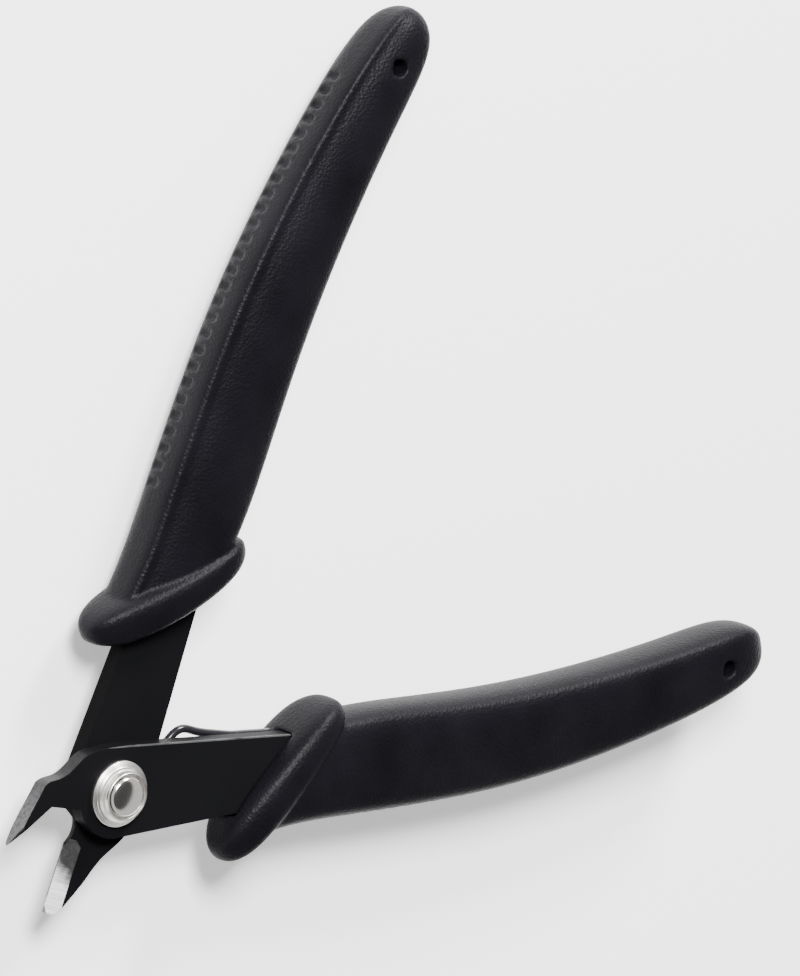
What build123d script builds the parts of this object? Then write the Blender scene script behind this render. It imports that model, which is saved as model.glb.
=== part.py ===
from build123d import *
import math
import os

os.makedirs("parts", exist_ok=True)

# Sprue nippers, lying flat with the jaws open and the return spring relaxed.
# Millimetres. The pivot axis is Z, and the back face of the pivot rivet is z = 0.
# The jaws point along -X and the handles spread to +Y and -Y.

# Blade plates
plate_thickness = 2.4
plate_gap = 0.05
inner_edge_angle = 38.55
inner_edge_offset = 6.71
outer_edge_angle = 32.3
outer_edge_offset = 6.5
boss_radius = 6.5
tang_length = 84.0

# Cutting edges: both lie the same distance from the pivot, so they meet when closed
edge_offset = 4.5
front_edge_angle = 178.4
closing_angle = 38.0
edge_end = 17.8
front_edge_start = 8.6
rear_edge_start = 9.2
front_bevel_width = 1.35
rear_bevel_width = 1.9
shoulder_slant = 45
tip_bevel_length = 2.9
tip_thickness = 0.5
throat_middle = (-8.7, 0.15)
throat_radius = 1.9
throat_relief_radius = 3.3

# Pivot
shank_radius = 2.5
running_clearance = 0.04
press_clearance = 0.0
rivet_head_radius = 4.5
rivet_head_height = 1.5
rivet_head_chamfer = 0.5
collar_radius = 4.75
collar_rim_height = 0.6
collar_height = 2.3
collar_top_radius = 3.25
dome_radius = 2.9
dome_height = 0.6

# Grips
handle_angle = 20.75
grip_half_thickness = 4.8
guard_half_thickness = 5.8
section_rounding = 0.8
tang_clearance = 0.04
lanyard_hole_radius = 1.2
lanyard_hole_x = 105.85
lanyard_hole_y = 20.75

# Return spring
wire_radius = 0.6
spring_clearance = 0.02
spring_offset = 6.2
spring_bend_start = 22.8
spring_root_length = 21.2

# Heights
rear_back = rivet_head_height + plate_gap
rear_front = rear_back + plate_thickness
front_back = rear_front + plate_gap
front_front = front_back + plate_thickness
front_middle = front_back + plate_thickness / 2
rear_middle = rear_back + plate_thickness / 2
rear_edge_angle = front_edge_angle + closing_angle
base_at_bottom = (Align.CENTER, Align.CENTER, Align.MIN)


def on_line(angle, offset, distance):
    """A point on the straight line that passes the pivot at this offset to its left."""
    a = math.radians(angle)
    x = distance * math.cos(a) - offset * math.sin(a)
    y = distance * math.sin(a) + offset * math.cos(a)
    return (x, y)


def across_edge(angle, side, slant, heel, height):
    """A plane across a cutting edge: x into the metal, leaning towards the tip by slant, and y up."""
    into_metal = on_line(angle - side * (90 - slant), 0, 1)
    facing = on_line(angle + side * slant, 0, -side)
    return Plane(origin=(*heel, height), x_dir=(*into_metal, 0), z_dir=(*facing, 0))


# Front blade: handle end at -Y, jaw at +Y
front_tip = on_line(front_edge_angle, -edge_offset, edge_end)
front_heel = on_line(front_edge_angle, -edge_offset, front_edge_start)
front_boss_start = on_line(-outer_edge_angle, -outer_edge_offset, 0)
front_inner_start = on_line(-inner_edge_angle, inner_edge_offset, 1.3)

with BuildPart() as front_blade:
    with BuildSketch(Plane.XY.offset(front_back)):
        with BuildLine():
            l1 = Line(front_heel, front_tip)
            l2 = Polyline(front_tip, (-17.5, 5.5), (-15.9, 6.5), (-13.8, 7.5), (-10.8, 8.75), (-9.1, 9.5))
            l3 = Spline(
                l2 @ 1,
                (-7.9, 9.3),
                (-6.3, 8.5),
                (-4.0, 8.2),
                (-1.8, 8.3),
                (0.4, 7.6),
                (3.0, 6.0),
                front_inner_start,
            )
            l4 = Line(front_inner_start, on_line(-inner_edge_angle, inner_edge_offset, tang_length))
            l5 = Line(l4 @ 1, on_line(-outer_edge_angle, -outer_edge_offset, tang_length))
            l6 = Line(l5 @ 1, front_boss_start)
            l7 = ThreePointArc(front_boss_start, (-boss_radius, 0), (-6.1, 2.24))
            l8 = Line(l7 @ 1, front_heel)
        make_face()
    extrude(amount=plate_thickness)
    # Bevel on the front side of the cutting edge, ending in a slanted shoulder at the heel
    with BuildSketch(across_edge(front_edge_angle, 1, shoulder_slant, front_heel, front_back)):
        with BuildLine():
            Polyline(
                (0, 0),
                (front_bevel_width / math.cos(math.radians(shoulder_slant)), plate_thickness),
                (-0.3, plate_thickness),
                (-0.3, 0),
                close=True,
            )
        make_face()
    extrude(amount=edge_end, dir=(*on_line(front_edge_angle, 0, 1), 0), mode=Mode.SUBTRACT)
    # Tip bevel on the front face
    with BuildSketch(Plane.XZ.offset(-2)):
        with BuildLine():
            Polyline(
                (-19, front_back + tip_thickness),
                (-17.9, front_back + tip_thickness),
                (-17.9 + tip_bevel_length, front_front),
                (-19, front_front),
                close=True,
            )
        make_face()
    extrude(amount=-10, mode=Mode.SUBTRACT)
    with Locations((0, 0, front_back)):
        Cylinder(shank_radius + press_clearance, plate_thickness, align=base_at_bottom, mode=Mode.SUBTRACT)
front_blade.part.label = "front_blade"

# Rear blade: handle end at +Y, jaw at -Y
rear_tip = on_line(rear_edge_angle, -edge_offset, edge_end)
rear_heel = on_line(rear_edge_angle, -edge_offset, rear_edge_start)
rear_bevel_start = on_line(rear_edge_angle, -edge_offset, rear_edge_start - 0.8)
rear_boss_start = on_line(outer_edge_angle, outer_edge_offset, 0)
rear_inner_start = on_line(inner_edge_angle, -inner_edge_offset, 1.3)

with BuildPart() as rear_blade:
    with BuildSketch(Plane.XY.offset(rear_back)):
        with BuildLine():
            l1 = Line(rear_heel, rear_tip)
            l2 = Polyline(
                rear_tip,
                (-17.4, -8.2),
                (-16.7, -9.3),
                (-14.8, -9.45),
                (-12.3, -9.15),
                (-10.1, -8.8),
            )
            l3 = Spline(
                l2 @ 1,
                (-8.0, -8.3),
                (-6.0, -8.0),
                (-2.3, -8.1),
                (0.3, -7.6),
                (3.0, -6.0),
                rear_inner_start,
            )
            l4 = Line(rear_inner_start, on_line(inner_edge_angle, -inner_edge_offset, tang_length))
            l5 = Line(l4 @ 1, on_line(outer_edge_angle, outer_edge_offset, tang_length))
            l6 = Line(l5 @ 1, rear_boss_start)
            l7 = ThreePointArc(rear_boss_start, (-6.38, 1.24), (-6.49, -0.3))
            l8 = Spline(l7 @ 1, (-7.05, -1.05), (-8.05, -1.65), rear_heel)
        make_face()
    extrude(amount=plate_thickness)
    # Bevel on the back side of the cutting edge
    with BuildSketch(across_edge(rear_edge_angle, -1, 0, rear_bevel_start, rear_front)):
        with BuildLine():
            Polyline(
                (0, 0),
                (rear_bevel_width, -plate_thickness),
                (-3, -plate_thickness),
                (-3, 0),
                close=True,
            )
        make_face()
    extrude(amount=edge_end, mode=Mode.SUBTRACT)
    # Relief behind the throat, between the heel and the boss
    with Locations((*throat_middle, rear_back)):
        Cone(throat_relief_radius, throat_radius, plate_thickness, align=base_at_bottom, mode=Mode.SUBTRACT)
    with Locations((0, 0, rear_back)):
        Cylinder(shank_radius + running_clearance, plate_thickness, align=base_at_bottom, mode=Mode.SUBTRACT)
rear_blade.part.label = "rear_blade"

# Pivot rivet: a flat head behind, a shank through both blades and a domed end in front
dome_start = front_front + collar_height
dome_curve = (dome_radius**2 + dome_height**2) / (2 * dome_height)
dome_halfway_rise = math.sqrt(dome_curve**2 - dome_radius**2 / 4) - dome_curve + dome_height
dome_halfway = (dome_radius / 2, dome_start + dome_halfway_rise)

with BuildPart() as pivot_rivet:
    with BuildSketch(Plane.XZ):
        with BuildLine():
            Polyline(
                (0, dome_start + dome_height),
                (0, 0),
                (rivet_head_radius - rivet_head_chamfer, 0),
                (rivet_head_radius, rivet_head_chamfer),
                (rivet_head_radius, rivet_head_height),
                (shank_radius, rivet_head_height),
                (shank_radius, dome_start),
                (dome_radius, dome_start),
            )
            ThreePointArc((dome_radius, dome_start), dome_halfway, (0, dome_start + dome_height))
        make_face()
    revolve(axis=Axis.Z)
pivot_rivet.part.label = "pivot_rivet"

# Pivot collar: the conical ring that the rivet's domed end holds on the front blade
with BuildPart() as pivot_collar:
    with BuildSketch(Plane.XZ):
        with BuildLine():
            Polyline(
                (shank_radius, front_front),
                (collar_radius, front_front),
                (collar_radius, front_front + collar_rim_height),
                (collar_top_radius, front_front + collar_height),
                (shank_radius, front_front + collar_height),
                close=True,
            )
        make_face()
    revolve(axis=Axis.Z)
pivot_collar.part.label = "pivot_collar"

# Return spring: one bent wire, held in the front grip, pressing on the rear blade
spring_root = on_line(-inner_edge_angle, spring_offset, spring_bend_start + spring_root_length)
spring_exit = on_line(-inner_edge_angle, spring_offset, spring_bend_start)
spring_direction = on_line(180 - inner_edge_angle, 0, 1)

with BuildPart() as return_spring:
    with BuildLine() as wire_path:
        straight = Line((*spring_root, rear_middle), (*spring_exit, rear_middle))
        Spline(
            straight @ 1,
            (19.9, -7.65, rear_middle),
            (17.95, -5.65, rear_middle),
            (16.35, -3.75, rear_middle),
            (15.3, -2.5, rear_middle),
            (14.1, -1.98, rear_middle),
            (12.4, -2.05, rear_middle),
            (10.2, -2.35, rear_middle),
            (8.0, -3.05, rear_middle),
            tangents=[straight % 1, (-0.94, -0.34, 0)],
        )
    with BuildSketch(Plane(origin=wire_path.wire() @ 0, z_dir=wire_path.wire() % 0)):
        Circle(wire_radius)
    sweep()
return_spring.part.label = "return_spring"


def section_plane(base, x, y, angle):
    """A plane across a grip at x, y in the grip's own frame, facing along this angle."""
    a = math.radians(angle)
    facing = base.x_dir * math.cos(a) + base.y_dir * math.sin(a)
    across = base.y_dir * math.cos(a) - base.x_dir * math.sin(a)
    return Plane(origin=base.from_local_coords((x, y, 0)), x_dir=across, z_dir=facing)


# Grip cross-sections: x, y, facing angle, half width, share of the half thickness
body_sections = (
    (27.6, 7.8, 50, 8.3, 0.88),
    (33.3, 9.25, 28, 7.35, 0.96),
    (41.0, 10.85, 17, 7.65, 1.0),
    (52.0, 13.72, 15, 7.5, 1.0),
    (64.0, 16.68, 12, 7.2, 1.0),
    (77.0, 18.85, 8, 6.7, 1.0),
    (90.0, 20.1, 4, 6.05, 1.0),
    (102.0, 20.6, 1, 5.35, 1.0),
    (109.8, 20.35, 0, 4.65, 0.92),
    (113.3, 20.3, 0, 2.9, 0.63),
    (114.5, 20.3, 0, 1.2, 0.27),
)
guard_sections = (
    (16.2, 16.0, -34, 1.2, 0.27),
    (17.2, 15.2, -34, 2.4, 0.52),
    (20.0, 13.0, -34, 3.1, 0.78),
    (25.5, 9.0, -34, 3.1, 0.97),
    (31.2, 5.2, -34, 2.7, 1.0),
    (35.6, 2.7, -34, 2.2, 0.9),
    (37.8, 1.7, -34, 1.5, 0.7),
    (38.8, 1.2, -34, 0.6, 0.3),
)


def lofted(base, sections, full_half_thickness):
    with BuildPart() as solid:
        for x, y, angle, half_width, share in sections:
            half_thickness = share * full_half_thickness
            with BuildSketch(section_plane(base, x, y, angle)):
                corner = section_rounding * min(half_width, half_thickness)
                RectangleRounded(2 * half_width, 2 * half_thickness, corner)
        loft()
    return solid.part


def moulded_grip(side, middle):
    """A whole grip: side is 1 for the +Y handle, -1 for the -Y one."""
    base = Plane(origin=(0, 0, middle), x_dir=(*on_line(side * handle_angle, 0, 1), 0), z_dir=(0, 0, side))
    outer = outer_edge_offset + tang_clearance
    inner = inner_edge_offset + tang_clearance
    slot_end = tang_length + tang_clearance
    with BuildPart() as grip:
        add(lofted(base, body_sections, grip_half_thickness))
        add(lofted(base, guard_sections, guard_half_thickness))
        # Slot for the handle end of the blade
        with BuildSketch(Plane.XY.offset(middle)):
            with BuildLine():
                Polyline(
                    on_line(side * outer_edge_angle, side * outer, 5),
                    on_line(side * outer_edge_angle, side * outer, slot_end),
                    on_line(side * inner_edge_angle, -side * inner, slot_end),
                    on_line(side * inner_edge_angle, -side * inner, 5),
                    close=True,
                )
            make_face()
        extrude(amount=plate_thickness / 2 + tang_clearance, both=True, mode=Mode.SUBTRACT)
        # Lanyard hole near the tail
        with BuildSketch(base):
            with Locations((lanyard_hole_x, lanyard_hole_y)):
                Circle(lanyard_hole_radius)
        extrude(amount=10, both=True, mode=Mode.SUBTRACT)
    return grip


rear_grip = moulded_grip(1, rear_middle)
rear_grip.part.label = "rear_grip"

front_grip_blank = moulded_grip(-1, front_middle)
with BuildPart() as front_grip:
    add(front_grip_blank.part)
    # Channel for the root of the return spring
    with BuildSketch(Plane(origin=(*spring_root, rear_middle), z_dir=(*spring_direction, 0))):
        Circle(wire_radius + spring_clearance)
    extrude(amount=spring_root_length, mode=Mode.SUBTRACT)
front_grip.part.label = "front_grip"

for piece in (front_blade, rear_blade, pivot_rivet, pivot_collar, return_spring, front_grip, rear_grip):
    export_step(piece.part, "parts/" + piece.part.label + ".step")
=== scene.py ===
"""Sprue nippers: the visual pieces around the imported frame.

Blender's lengths are metres. The tables of sections, profiles and sizes below are in millimetres,
and MM turns them into metres.
"""

import math
import bpy
from mathutils import Matrix, Vector


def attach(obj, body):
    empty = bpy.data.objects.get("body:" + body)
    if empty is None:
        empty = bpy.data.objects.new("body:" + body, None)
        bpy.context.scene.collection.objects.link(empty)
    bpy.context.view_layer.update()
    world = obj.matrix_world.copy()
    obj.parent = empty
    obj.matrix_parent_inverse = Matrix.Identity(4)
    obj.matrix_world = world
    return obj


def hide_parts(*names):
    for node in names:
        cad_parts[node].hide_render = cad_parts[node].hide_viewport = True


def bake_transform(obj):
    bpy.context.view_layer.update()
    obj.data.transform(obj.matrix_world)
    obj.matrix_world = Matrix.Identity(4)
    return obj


MM = 0.001

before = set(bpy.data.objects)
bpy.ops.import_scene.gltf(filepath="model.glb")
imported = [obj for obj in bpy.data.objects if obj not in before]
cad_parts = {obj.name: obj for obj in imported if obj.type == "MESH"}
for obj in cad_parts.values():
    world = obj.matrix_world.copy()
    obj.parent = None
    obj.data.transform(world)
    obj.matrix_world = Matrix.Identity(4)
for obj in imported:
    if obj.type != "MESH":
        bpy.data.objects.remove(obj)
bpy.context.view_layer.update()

# Heights of the two plates above the back of the pivot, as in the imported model
REAR_MIDDLE = 2.75 * MM
FRONT_MIDDLE = 5.2 * MM
FRONT_FACE = 6.4 * MM

# How far each grip, and the straight edges of each blade, turn from the middle of the open tool
HANDLE_ANGLE = math.radians(20.75)
BLADE_EDGE_ANGLE = math.radians(38.55)

CAMERA_PLACE = (-0.79524, 1.27310, 1.72281)
CAMERA_TURN = [math.radians(angle) for angle in (-16.5338, -38.8744, -30.6761)]
CAMERA_LENS = 606.8
SENSOR_SIZE = 36

FLOOR_HEIGHT = -3.5 * MM

# The sky is bright up to the first height, on a sphere of radius 1, and dims to its ceiling by the second
SKY_BRIGHT_TO = 0.71
CEILING_DARK_FROM = 0.76
SKY_STRENGTH = 0.65
CEILING_STRENGTH = 0.06


# Camera, floor and light

def set_up_camera():
    data = bpy.data.cameras.new("camera")
    data.lens = CAMERA_LENS
    data.sensor_width = SENSOR_SIZE
    data.sensor_fit = "VERTICAL"
    data.sensor_height = SENSOR_SIZE
    data.clip_end = 20
    camera = bpy.data.objects.new("camera", data)
    camera.location = CAMERA_PLACE
    camera.rotation_euler = CAMERA_TURN
    bpy.context.scene.collection.objects.link(camera)
    bpy.context.scene.camera = camera


def add_area_light(name, place, aim, energy, size):
    data = bpy.data.lights.new(name, "AREA")
    data.energy = energy
    data.size = size
    light = bpy.data.objects.new(name, data)
    light.location = place
    light.rotation_euler = (Vector(aim) - Vector(place)).to_track_quat("-Z", "Y").to_euler()
    bpy.context.scene.collection.objects.link(light)


def set_up_studio():
    middle = (0.04, 0, 0)
    add_area_light("key light", (0.1, 0.9, 1.0), middle, 60, 0.4)
    add_area_light("side light", (0.95, 0.6, 0.5), middle, 34, 0.3)
    world = bpy.data.worlds.new("light tent with a dim ceiling")
    bpy.context.scene.world = world
    world.use_nodes = True
    tree = world.node_tree
    direction = tree.nodes.new("ShaderNodeTexCoord")
    split = tree.nodes.new("ShaderNodeSeparateXYZ")
    height = tree.nodes.new("ShaderNodeMapRange")
    height.inputs["From Min"].default_value = SKY_BRIGHT_TO
    height.inputs["From Max"].default_value = CEILING_DARK_FROM
    height.inputs["To Min"].default_value = SKY_STRENGTH
    height.inputs["To Max"].default_value = CEILING_STRENGTH
    tree.links.new(direction.outputs["Generated"], split.inputs["Vector"])
    tree.links.new(split.outputs["Z"], height.inputs["Value"])
    tree.links.new(height.outputs["Result"], tree.nodes["Background"].inputs["Strength"])
    tree.nodes["Background"].inputs["Color"].default_value = (1, 1, 1, 1)


# Shader maths: a Value wraps one output socket, and Python operators add Math nodes

class Value:
    def __init__(self, finish, socket):
        self.finish = finish
        self.socket = socket

    def math(self, operation, *others):
        return self.finish.node("ShaderNodeMath", {"operation": operation}, [self, *others])

    def __add__(self, other):
        return self.math("ADD", other)

    def __radd__(self, other):
        return self.math("ADD", other)

    def __sub__(self, other):
        return self.math("SUBTRACT", other)

    def __rsub__(self, other):
        return self.finish.node("ShaderNodeMath", {"operation": "SUBTRACT"}, [other, self])

    def __mul__(self, other):
        return self.math("MULTIPLY", other)

    def __rmul__(self, other):
        return self.math("MULTIPLY", other)

    def __gt__(self, other):
        return self.math("GREATER_THAN", other)

    def __lt__(self, other):
        return self.math("LESS_THAN", other)

    def within(self, low, high):
        """0 below low, 1 above high and straight between them; low may be the larger."""
        return self.finish.node(
            "ShaderNodeMapRange", {"clamp": True}, {"Value": self, "From Min": low, "From Max": high}
        )


class Finish:
    """One procedural material and the nodes that feed its shader."""

    def __init__(self, name, **constants):
        self.material = bpy.data.materials.new(name)
        self.material.use_nodes = True
        self.tree = self.material.node_tree
        self.shader = self.tree.nodes["Principled BSDF"]
        for socket, value in constants.items():
            self.shader.inputs[socket.replace("_", " ")].default_value = value
        self.place = self.node("ShaderNodeTexCoord", {}, {}, "Object")
        self.normal = self.node("ShaderNodeTexCoord", {}, {}, "Normal")
        self.x, self.y, self.z = self.parts(self.place)

    def node(self, kind, settings, inputs, output=0):
        """Add a node, link or set its inputs, and return the output to carry on with."""
        made = self.tree.nodes.new(kind)
        for setting, value in settings.items():
            setattr(made, setting, value)
        pairs = inputs.items() if isinstance(inputs, dict) else enumerate(inputs)
        for socket, value in pairs:
            if isinstance(value, Value):
                self.tree.links.new(value.socket, made.inputs[socket])
            else:
                made.inputs[socket].default_value = value
        return Value(self, made.outputs[output])

    def parts(self, vector):
        split = self.node("ShaderNodeSeparateXYZ", {}, {"Vector": vector})
        outputs = split.socket.node.outputs
        return [Value(self, outputs[axis]) for axis in "XYZ"]

    def noise(self, scale, detail=3.0, roughness=0.55, vector=None):
        where = vector or self.place
        settings = {"Vector": where, "Scale": scale, "Detail": detail, "Roughness": roughness}
        return self.node("ShaderNodeTexNoise", {}, settings)

    def mixed(self, factor, low, high):
        """A colour between two colours, which may be links or RGBA values."""
        settings = {"data_type": "RGBA"}
        return self.node("ShaderNodeMix", settings, {0: factor, 6: low, 7: high}, 2)

    def bump(self, height, distance, strength=1.0):
        return self.node(
            "ShaderNodeBump", {}, {"Height": height, "Distance": distance, "Strength": strength}
        )

    def connect(self, **links):
        for socket, value in links.items():
            self.tree.links.new(value.socket, self.shader.inputs[socket.replace("_", " ")])
        return self.material


def grey(level):
    return (level, level, level, 1)


def grip_rubber():
    """Black moulded rubber with a fine pebbled grain."""
    finish = Finish("grip rubber", Specular_IOR_Level=0.07)
    pebbles = finish.node(
        "ShaderNodeTexVoronoi",
        {"feature": "SMOOTH_F1"},
        {"Vector": finish.place, "Scale": 2600.0, "Smoothness": 0.6},
    )
    fine = finish.noise(5200.0, 4.0)
    broad = finish.noise(90.0, 3.0)
    grain = pebbles * 0.7 + fine * 0.3
    colour = finish.mixed(
        broad.within(0.3, 0.7), (0.0021, 0.002, 0.003, 1), (0.0042, 0.004, 0.0056, 1)
    )
    roughness = 0.33 + 0.14 * fine + 0.06 * broad
    return finish.connect(
        Base_Color=colour, Roughness=roughness, Normal=finish.bump(grain, 0.08 * MM)
    )


def black_oxide(finish):
    """The black of both blades: colour, roughness and a fine etched height."""
    etched = finish.noise(3500.0, 4.0)
    broad = finish.noise(60.0, 2.0)
    colour = finish.mixed(broad, (0.0028, 0.0028, 0.0033, 1), (0.0048, 0.0048, 0.0056, 1))
    roughness = 0.36 + 0.1 * broad + 0.08 * etched
    return colour, roughness, etched


def ground_steel(finish, along, across):
    """Bare ground steel with fine grinding lines: colour and height."""
    stretched = finish.node(
        "ShaderNodeCombineXYZ", {}, {"X": along * 120.0, "Y": across * 9000.0, "Z": finish.z * 9000.0}
    )
    lines = finish.noise(1.0, 3.0, 0.6, stretched)
    colour = finish.mixed(lines, (0.05, 0.05, 0.051, 1), (0.13, 0.13, 0.13, 1))
    return colour, lines


def front_blade_steel():
    """Black oxide, with the jaw's ground wall bare, and a painted highlight as a light grey strip along
    the inner edge of the handle.
    """
    finish = Finish("front blade steel", Specular_IOR_Level=0.025)
    black, black_roughness, etched = black_oxide(finish)
    bare, lines = ground_steel(finish, finish.x, finish.y)
    _, normal_y, normal_z = finish.parts(finish.normal)
    # Outer wall of the jaw, ground from the tip back past the shoulder
    speckle = finish.noise(1900.0, 4.0, 0.7)
    ragged = finish.x + (speckle - 0.5) * 2.4 * MM
    outside = (normal_z < 0.5) * (normal_y > -0.3) * (finish.y > 4.9 * MM)
    wall = outside * ragged.within(-0.8 * MM, -2.6 * MM)
    tip = (finish.x < -13.0 * MM) * (normal_z < 0.97) * (normal_z > 0.2)
    cheek = (finish.x < -8.0 * MM) * (normal_z < -0.5)
    # Painted highlight: a light grey, partly metallic strip along the stamped edge on the inner side of
    # the handle
    across = finish.x * math.sin(BLADE_EDGE_ANGLE) + finish.y * math.cos(BLADE_EDGE_ANGLE)
    highlight_strip = (across > 6.5 * MM) * (finish.z > FRONT_FACE - 0.26 * MM) * (finish.x > 1.0 * MM)
    painted_edge_highlight = highlight_strip * finish.noise(260.0).within(0.2, 0.75)
    mask = (wall + tip + cheek).within(0.0, 1.0)
    toward_tip = finish.x.within(-6.0 * MM, -13.0 * MM)
    dull = finish.mixed(speckle.within(0.3, 0.7), grey(0.003), grey(0.015))
    steel = finish.mixed(0.06 + 0.8 * toward_tip * speckle.within(0.2, 0.55), dull, bare)
    colour = finish.mixed(mask, black, steel)
    # The painted edge highlight is mixed in here as light grey
    colour = finish.mixed(painted_edge_highlight * 0.7, colour, grey(0.14))
    roughness = black_roughness * (1 - mask) + mask * (0.34 + 0.12 * lines)
    metallic = (mask + painted_edge_highlight * 0.5).within(0.0, 1.0)
    height = etched * (1 - mask) * 0.4 + (lines * 0.5 + speckle) * mask
    return finish.connect(
        Base_Color=colour, Roughness=roughness, Metallic=metallic,
        Normal=finish.bump(height, 0.03 * MM, 0.8),
    )


def rear_blade_steel():
    """Black oxide, with the land behind the cutting edge ground and given a polish towards the tip, where
    a painted reflection turns its colour near white, and with painted shade on the side walls.
    """
    finish = Finish("rear blade steel", Specular_IOR_Level=0.02)
    black, black_roughness, etched = black_oxide(finish)
    # Distance along the cutting edge from the pivot, and from that edge into the jaw
    edge = math.radians(216.4)
    along = finish.x * math.cos(edge) + finish.y * math.sin(edge)
    into = 4.5 * MM + (finish.y * math.cos(edge) - finish.x * math.sin(edge))
    normal_z = finish.parts(finish.normal)[2]
    bare, lines = ground_steel(finish, into, along)
    wobble = (finish.noise(700.0, 2.0) - 0.5) * 0.25 * MM
    land = (into + wobble < 3.15 * MM) * (finish.x < -7.9 * MM) * (along > 8.0 * MM)
    flat = normal_z > 0.6
    tip = (along > 16.6 * MM) * (normal_z < 0.6)
    mask = (land * flat + tip).within(0.0, 1.0)
    speckle = finish.noise(1500.0, 4.0, 0.7)
    clouds = (finish.noise(500.0, 3.0) - 0.5) * 3.0 * MM
    clouded = along - into * 0.6 + clouds + (lines - 0.5) * 1.2 * MM
    # Painted reflection: towards the tip the land's colour rises to streaked near white and its metallic
    # falls, standing in for mirrored light; the lower roughness there is the real polish
    polish_and_painted_reflection = clouded.within(10.6 * MM, 13.6 * MM) * (1 - tip)
    dull = finish.mixed(speckle.within(0.3, 0.7), grey(0.07), grey(0.17))
    streaked = finish.mixed(lines.within(0.35, 0.6), grey(0.45), grey(1.0))
    bright = finish.mixed(polish_and_painted_reflection, dull, streaked)
    shown = finish.mixed(lines.within(0.4, 0.75) * (0.2 + 0.15 * tip), bright, bare)
    # Painted shade: the side walls and undersides of the black oxide are darkened nearly to black
    side = normal_z.within(0.6, 0.3) * 0.7
    colour = finish.mixed(mask, finish.mixed(side, black, grey(0.0008)), shown)
    roughness = black_roughness * (1 - mask) + mask * (0.42 - 0.16 * polish_and_painted_reflection + 0.06 * lines)
    height = etched * (1 - mask) * 0.4 + (lines * 0.8 + speckle * 0.4) * mask
    metallic = mask * (0.95 - 0.65 * polish_and_painted_reflection)
    return finish.connect(
        Base_Color=colour, Roughness=roughness, Metallic=metallic,
        Normal=finish.bump(height, 0.02 * MM, 0.6),
    )


def turned_steel():
    """Bright steel with turning marks round the collar and a smoother dome."""
    finish = Finish("turned pivot steel", Metallic=1.0)
    outward = finish.node("ShaderNodeCombineXYZ", {}, {"X": finish.x, "Y": finish.y})
    radius = finish.node("ShaderNodeVectorMath", {"operation": "LENGTH"}, {0: outward}, "Value")
    rings = finish.node("ShaderNodeCombineXYZ", {}, {"X": radius * 6000.0})
    marks = finish.noise(1.0, 2.0, 0.6, rings)
    broad = finish.noise(700.0, 3.0)
    cone = (radius > 2.95 * MM) * 1.0
    colour = finish.mixed(
        (marks * 0.75 + broad * 0.25).within(0.36, 0.6), (0.3, 0.285, 0.26, 1), (0.86, 0.835, 0.8, 1)
    )
    colour = finish.mixed(cone, (0.92, 0.89, 0.85, 1), colour)
    roughness = 0.12 + 0.08 * broad + cone * (0.12 + 0.12 * marks)
    return finish.connect(
        Base_Color=colour, Roughness=roughness,
        Normal=finish.bump(marks * (0.1 + 0.9 * cone), 0.08 * MM, 0.9),
    )


def spring_wire():
    """Blued music wire with a patchy sheen."""
    finish = Finish("spring wire", Metallic=0.0, Coat_Roughness=0.12, Specular_IOR_Level=0.2)
    scale = finish.noise(1500.0, 3.0)
    colour = finish.mixed(scale, (0.004, 0.004, 0.005, 1), (0.012, 0.012, 0.014, 1))
    return finish.connect(
        Base_Color=colour, Roughness=0.2 + 0.12 * scale, Coat_Weight=0.12 + 0.2 * scale,
        Normal=finish.bump(scale, 0.01 * MM, 0.3),
    )


# Modelling by hand: small wrappers for the moves that are made over and over

def deselect():
    if bpy.context.object and bpy.context.object.mode != "OBJECT":
        bpy.ops.object.mode_set(mode="OBJECT")
    bpy.ops.object.select_all(action="DESELECT")


def pick(piece):
    deselect()
    piece.select_set(True)
    bpy.context.view_layer.objects.active = piece


def apply_modifiers(piece):
    pick(piece)
    for modifier in list(piece.modifiers):
        bpy.ops.object.modifier_apply(modifier=modifier.name)


def settle(piece):
    """Put the object's own place and turn into its mesh."""
    pick(piece)
    bpy.ops.object.transform_apply(location=True, rotation=True, scale=True)


def turn_selected(angle, centre):
    bpy.ops.transform.rotate(value=-angle, orient_axis="Z", center_override=centre)


def drawn_out(name, ring, sections):
    """A closed form drawn through sections: each is x, y, facing angle, half width, half thickness.

    The ring is the outline of one section, as parts of the half width and the half thickness.
    """
    deselect()
    x, y, facing, width, thickness = sections[0]
    bpy.ops.mesh.primitive_circle_add(vertices=len(ring), radius=MM, fill_type="NGON")
    piece = bpy.context.object
    piece.name = name
    for corner, (across, height) in zip(piece.data.vertices, ring):
        corner.co = (0, across * width * MM, height * thickness * MM)
    bpy.ops.object.mode_set(mode="EDIT")
    bpy.ops.mesh.select_all(action="SELECT")
    turn_selected(math.radians(facing), (0, 0, 0))
    bpy.ops.transform.translate(value=(x * MM, y * MM, 0))
    for section in sections[1:]:
        next_x, next_y, next_facing, next_width, next_thickness = section
        here = (x * MM, y * MM, 0)
        bpy.ops.mesh.extrude_region_move()
        turn_selected(-math.radians(facing), here)
        growth = (1, next_width / width, next_thickness / thickness)
        bpy.ops.transform.resize(value=growth, center_override=here)
        turn_selected(math.radians(next_facing), here)
        bpy.ops.transform.translate(value=((next_x - x) * MM, (next_y - y) * MM, 0))
        x, y, facing, width, thickness = section
    bpy.ops.mesh.select_all(action="SELECT")
    bpy.ops.mesh.normals_make_consistent(inside=False)
    bpy.ops.object.mode_set(mode="OBJECT")
    rounded = piece.modifiers.new("rounded", "SUBSURF")
    rounded.levels = 2
    rounded.render_levels = 2
    apply_modifiers(piece)
    return piece


def combine(piece, tool, operation):
    """Join a tool shape to a piece or cut it out, then throw the tool away."""
    modifier = piece.modifiers.new(operation.lower(), "BOOLEAN")
    modifier.operation = operation
    modifier.solver = "EXACT"
    modifier.object = tool
    apply_modifiers(piece)
    bpy.data.objects.remove(tool)


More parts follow.
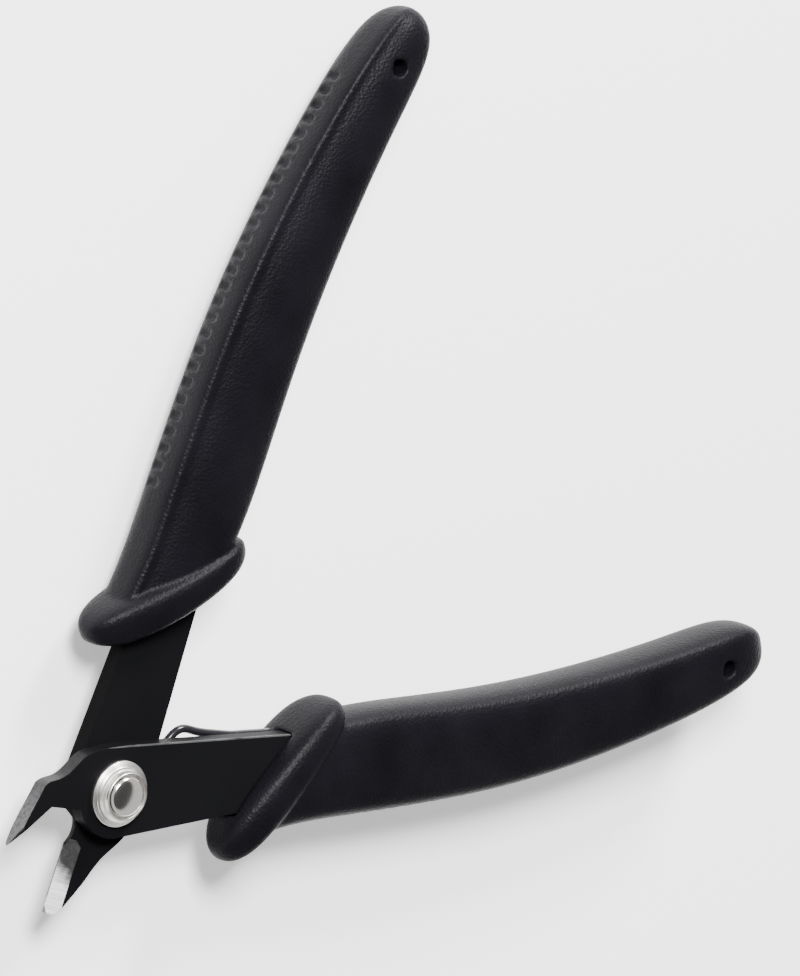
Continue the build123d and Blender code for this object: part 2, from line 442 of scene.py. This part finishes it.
def soften(piece, voxel, rounds):
    """Blend a joined form into one moulded skin."""
    remesh = piece.modifiers.new("skin", "REMESH")
    remesh.mode = "VOXEL"
    remesh.voxel_size = voxel
    smooth = piece.modifiers.new("smooth", "SMOOTH")
    smooth.factor = 0.5
    smooth.iterations = rounds
    apply_modifiers(piece)
    pick(piece)
    bpy.ops.object.shade_smooth()


def copy_of(source, name):
    pick(source)
    bpy.ops.object.duplicate()
    copied = bpy.context.object
    copied.name = name
    return copied


# The moulded grip, lying along +X with its outer side at +Y and its patterned face up

# Outline of a cut through the grip, from its outer side over the bead and the valley to the crown
GRIP_RING = (
    (1.0, 0.0), (1.0, 0.22), (0.99, 0.44), (0.95, 0.6), (0.89, 0.67), (0.82, 0.675), (0.75, 0.685),
    (0.66, 0.745), (0.5, 0.84), (0.25, 0.94), (-0.1, 1.0), (-0.42, 0.985), (-0.68, 0.93),
    (-0.87, 0.81), (-0.965, 0.55), (-1.0, 0.2), (-1.0, -0.2), (-0.965, -0.55), (-0.87, -0.81),
    (-0.7, -0.935), (-0.4, -0.99), (0.0, -1.0), (0.4, -0.99), (0.7, -0.935), (0.87, -0.81),
    (0.965, -0.55), (1.0, -0.28),
)
GRIP_SECTIONS = (
    (26.2, 8.7, 54, 10.6, 4.1), (29.0, 8.6, 42, 8.4, 4.5), (34.3, 9.4, 26, 7.45, 4.7),
    (42.0, 11.1, 17, 7.7, 4.8), (52.0, 13.72, 15, 7.55, 4.8), (64.0, 16.68, 12, 7.25, 4.8),
    (77.0, 18.85, 8, 6.75, 4.8), (90.0, 20.1, 4, 6.1, 4.8), (100.0, 20.58, 1, 5.55, 4.8),
    (106.5, 20.5, 0, 5.05, 4.7), (110.6, 20.4, 0, 4.3, 4.2), (113.0, 20.32, 0, 3.1, 3.2),
    (114.3, 20.3, 0, 1.7, 1.8), (114.7, 20.3, 0, 0.6, 0.7),
)
GUARD_RING = (
    (1.0, 0.0), (0.99, 0.45), (0.92, 0.78), (0.72, 0.95), (0.4, 1.0), (0.0, 1.0), (-0.4, 0.97),
    (-0.75, 0.88), (-0.93, 0.7), (-1.0, 0.35), (-1.0, 0.0), (-1.0, -0.35), (-0.93, -0.7),
    (-0.75, -0.88), (-0.4, -0.97), (0.0, -1.0), (0.4, -1.0), (0.72, -0.95), (0.92, -0.78),
    (0.99, -0.45),
)
GUARD_SECTIONS = (
    (15.7, 16.4, -34, 0.8, 1.0), (16.6, 15.7, -34, 2.0, 2.6), (18.4, 14.3, -34, 2.85, 3.9),
    (21.0, 12.3, -34, 3.2, 4.9), (25.5, 9.0, -34, 3.25, 5.75), (31.2, 5.2, -34, 2.9, 5.85),
    (35.6, 2.7, -34, 2.4, 5.3), (38.2, 1.55, -34, 1.7, 4.0), (39.6, 0.95, -34, 0.7, 2.0),
)


def block(name, size):
    """A small block for cutting, with its edges bevelled, centred on the origin."""
    deselect()
    bpy.ops.mesh.primitive_cube_add(size=1, location=(0, 0, 0))
    made = bpy.context.object
    made.name = name
    made.scale = [v * MM for v in size]
    settle(made)
    bpy.ops.object.mode_set(mode="EDIT")
    bpy.ops.mesh.select_all(action="SELECT")
    bpy.ops.mesh.bevel(offset=min(size) * 0.15 * MM, segments=2)
    bpy.ops.object.mode_set(mode="OBJECT")
    return made


# Points along the grip's outer wall, and the row of notches cut into it
OUTER_WALL = (
    (38.76, 18.17), (50.06, 20.96), (62.5, 23.72), (76.07, 25.49), (89.58, 26.14), (101.9, 25.95),
)
NOTCH_SIZE = (1.3, 1.1, 2.3)
NOTCH_HEIGHT = -1.5
NOTCH_PITCH = 2.36
FIRST_NOTCH = 39.2
NOTCHES_END = 101.0


def cut_grip_notches(grip):
    """A row of small notches down the middle of the outer wall."""
    row = []
    x = FIRST_NOTCH
    while x < NOTCHES_END:
        for (x0, y0), (x1, y1) in zip(OUTER_WALL, OUTER_WALL[1:]):
            if x0 <= x <= x1:
                slope = (y1 - y0) / (x1 - x0)
                y = y0 + slope * (x - x0)
        if row:
            notch = copy_of(row[-1], f"notch {len(row) + 1}")
        else:
            notch = block("notch", NOTCH_SIZE)
        notch.rotation_euler = (0, 0, math.atan(slope))
        notch.location = (x * MM, y * MM, NOTCH_HEIGHT * MM)
        row.append(notch)
        x += NOTCH_PITCH
    deselect()
    for notch in row:
        notch.select_set(True)
    bpy.context.view_layer.objects.active = row[0]
    bpy.ops.object.transform_apply(location=True, rotation=True, scale=True)
    bpy.ops.object.join()
    combine(grip, bpy.context.object, "DIFFERENCE")


LANYARD_HOLE_RADIUS = 1.2
LANYARD_HOLE_PLACE = (105.85, 20.75, 0)

# Clearance round a plate where it enters the guard, and the fineness of the moulded skin
RECESS_SIZE = (14.5, 3.2, 3.7)
RECESS_PLACE = Vector((24.3, 6.4, 0))
RECESS_TURN = math.radians(-34)
SKIN_VOXEL = 0.29 * MM
SKIN_SMOOTHING = 6


def make_grip():
    """One grip, lying along +X: the handle, its guard, the lanyard hole and the notches."""
    grip = drawn_out("grip", GRIP_RING, GRIP_SECTIONS)
    guard = drawn_out("guard", GUARD_RING, GUARD_SECTIONS)
    combine(grip, guard, "UNION")
    deselect()
    bpy.ops.mesh.primitive_cylinder_add(
        vertices=48,
        radius=LANYARD_HOLE_RADIUS * MM,
        depth=14 * MM,
        location=[v * MM for v in LANYARD_HOLE_PLACE],
    )
    hole = bpy.context.object
    settle(hole)
    combine(grip, hole, "DIFFERENCE")
    cut_grip_notches(grip)
    return grip


def make_grips():
    """Both grips are one moulding, and the front one is turned over."""
    rear = make_grip()
    rear.name = "rear_grip_moulding"
    front = copy_of(rear, "front_grip_moulding")
    front.rotation_euler = (math.pi, 0, 0)
    settle(front)
    front.rotation_euler = (0, 0, -HANDLE_ANGLE)
    front.location = (0, 0, FRONT_MIDDLE)
    settle(front)
    rear.rotation_euler = (0, 0, HANDLE_ANGLE)
    rear.location = (0, 0, REAR_MIDDLE)
    settle(rear)
    place = Matrix.Rotation(HANDLE_ANGLE, 3, "Z") @ RECESS_PLACE
    for piece, side, middle in ((rear, 1, REAR_MIDDLE), (front, -1, FRONT_MIDDLE)):
        recess = block("recess", RECESS_SIZE)
        recess.rotation_euler = (0, 0, side * (RECESS_TURN + HANDLE_ANGLE))
        recess.location = (place.x * MM, side * place.y * MM, middle)
        settle(recess)
        combine(piece, recess, "DIFFERENCE")
        soften(piece, SKIN_VOXEL, SKIN_SMOOTHING)
    return front, rear


# Blades and wire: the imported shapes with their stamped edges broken

PLATE_EDGE_BREAK = 0.14 * MM


def finished_copy(node, name, edge_break, smooth_below):
    """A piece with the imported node's shape, its corners merged and its sharp edges broken."""
    piece = bpy.data.objects.new(name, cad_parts[node].data.copy())
    bpy.context.scene.collection.objects.link(piece)
    pick(piece)
    bpy.ops.object.mode_set(mode="EDIT")
    bpy.ops.mesh.select_all(action="SELECT")
    bpy.ops.mesh.remove_doubles(threshold=0.002 * MM)
    if edge_break:
        bpy.ops.mesh.dissolve_limited(angle_limit=math.radians(0.5))
    bpy.ops.object.mode_set(mode="OBJECT")
    if edge_break:
        broken = piece.modifiers.new("broken edges", "BEVEL")
        broken.width = edge_break
        broken.segments = 2
        broken.limit_method = "ANGLE"
        broken.angle_limit = math.radians(35)
        apply_modifiers(piece)
    bpy.ops.object.shade_smooth_by_angle(angle=math.radians(smooth_below))
    if edge_break:
        level = piece.modifiers.new("level faces", "WEIGHTED_NORMAL")
        level.keep_sharp = True
        apply_modifiers(piece)
    return piece


# The turned pivot pieces

def turned_piece(name, profile, bored=False):
    """A turned form drawn out ring by ring through radius and height, solid or with a bore."""
    deselect()
    radius, height = profile[0]
    bpy.ops.mesh.primitive_circle_add(
        vertices=96,
        radius=radius * MM,
        fill_type="NOTHING" if bored else "NGON",
        location=(0, 0, height * MM),
    )
    piece = bpy.context.object
    piece.name = name
    settle(piece)
    bpy.ops.object.mode_set(mode="EDIT")
    bpy.ops.mesh.select_all(action="SELECT")
    for next_radius, next_height in profile[1:]:
        bpy.ops.mesh.extrude_region_move()
        growth = next_radius / radius
        bpy.ops.transform.resize(value=(growth, growth, 1), center_override=(0, 0, height * MM))
        bpy.ops.transform.translate(value=(0, 0, (next_height - height) * MM))
        radius, height = next_radius, next_height
    if bored:
        bpy.ops.mesh.select_all(action="SELECT")
        bpy.ops.mesh.region_to_loop()
        bpy.ops.mesh.bridge_edge_loops()
    bpy.ops.mesh.select_all(action="SELECT")
    bpy.ops.mesh.normals_make_consistent(inside=False)
    bpy.ops.object.mode_set(mode="OBJECT")
    edges = piece.modifiers.new("broken edges", "BEVEL")
    edges.width = 0.05 * MM
    edges.segments = 2
    edges.limit_method = "ANGLE"
    edges.angle_limit = math.radians(40)
    apply_modifiers(piece)
    bpy.ops.object.shade_smooth_by_angle(angle=math.radians(30))
    return piece


# Radius and height of each turned ring, from the bottom up and, for the collar, down into its bore
COLLAR_PROFILE = (
    (4.74, 6.42), (4.74, 6.95), (4.62, 7.06), (4.24, 7.2), (4.2, 7.34), (3.94, 7.52), (3.9, 7.66),
    (3.68, 7.92), (3.52, 8.24), (3.46, 8.4), (3.47, 8.52), (3.42, 8.65), (3.32, 8.7), (3.2, 8.66),
    (3.12, 8.54), (3.08, 8.3), (2.54, 8.3), (2.54, 6.42),
)
RIVET_PROFILE = (
    (0.2, 0.0), (4.0, 0.0), (4.5, 0.5), (4.5, 1.48), (2.48, 1.48), (2.48, 8.36), (2.78, 8.36),
    (2.82, 8.6), (2.72, 8.77), (2.5, 8.92), (2.1, 9.06), (1.6, 9.17), (1.1, 9.24), (0.6, 9.28),
    (0.2, 9.295),
)

set_up_camera()
set_up_studio()

deselect()
bpy.ops.mesh.primitive_plane_add(size=3, location=(0.05, 0, FLOOR_HEIGHT))
floor = bpy.context.object
floor.name = "floor"
pale = Finish(
    "pale floor",
    Base_Color=grey(0.93),
    Roughness=0.6,
    Specular_IOR_Level=0.2,
    Emission_Color=grey(1.0),
    Emission_Strength=0.5,
)
floor.data.materials.append(pale.material)

rubber = grip_rubber()
front_grip, rear_grip = make_grips()
front_blade = finished_copy("front_blade", "front_blade_plate", PLATE_EDGE_BREAK, 25)
rear_blade = finished_copy("rear_blade", "rear_blade_plate", PLATE_EDGE_BREAK, 25)
spring = finished_copy("return_spring", "return_spring_wire", 0, 40)
collar = turned_piece("pivot_collar_turned", COLLAR_PROFILE, bored=True)
rivet = turned_piece("pivot_rivet_turned", RIVET_PROFILE)
bright = turned_steel()

for piece, node, body, slot, material in (
    (front_grip, "front_grip", "front_half", "grip_rubber", rubber),
    (rear_grip, "rear_grip", "rear_half", "grip_rubber", rubber),
    (front_blade, "front_blade", "front_half", "blade_steel", front_blade_steel()),
    (rear_blade, "rear_blade", "rear_half", "blade_steel", rear_blade_steel()),
    (spring, "return_spring", "front_half", "spring_wire", spring_wire()),
    (collar, "pivot_collar", "front_half", "pivot_steel", bright),
    (rivet, "pivot_rivet", "front_half", "pivot_steel", bright),
):
    piece.data.materials.clear()
    piece.data.materials.append(material)
    if piece is spring:
        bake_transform(piece)
    else:
        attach(piece, body)
    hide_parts(node)
